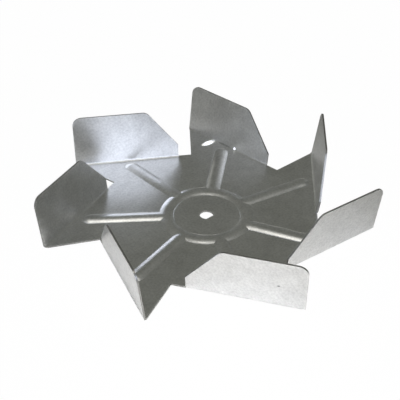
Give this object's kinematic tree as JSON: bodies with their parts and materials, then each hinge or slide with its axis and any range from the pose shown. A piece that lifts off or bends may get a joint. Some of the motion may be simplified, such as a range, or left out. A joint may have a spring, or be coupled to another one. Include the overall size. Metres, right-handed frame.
{
  "type": "fan impeller",
  "caption": "One-piece sheet-steel fan impeller: saw-tooth disc with blades folded up from its arms, pressed ribs and ring, and a D-shaped shaft hole.",
  "frame": {"origin": "on the shaft axis, in the plane of the base's underside", "axes": "+Z along the shaft, towards the side on which the blades stand; the flat of the shaft hole lies along X, on the -Y side of the axis"},
  "size_m": [0.148, 0.1507, 0.0251],
  "materials": {
    "coated_sheet": "satin, rolled and hot-dip coated"
  },
  "bodies": {
    "root": {"impeller": "coated_sheet"}
  },
  "joints": []
}
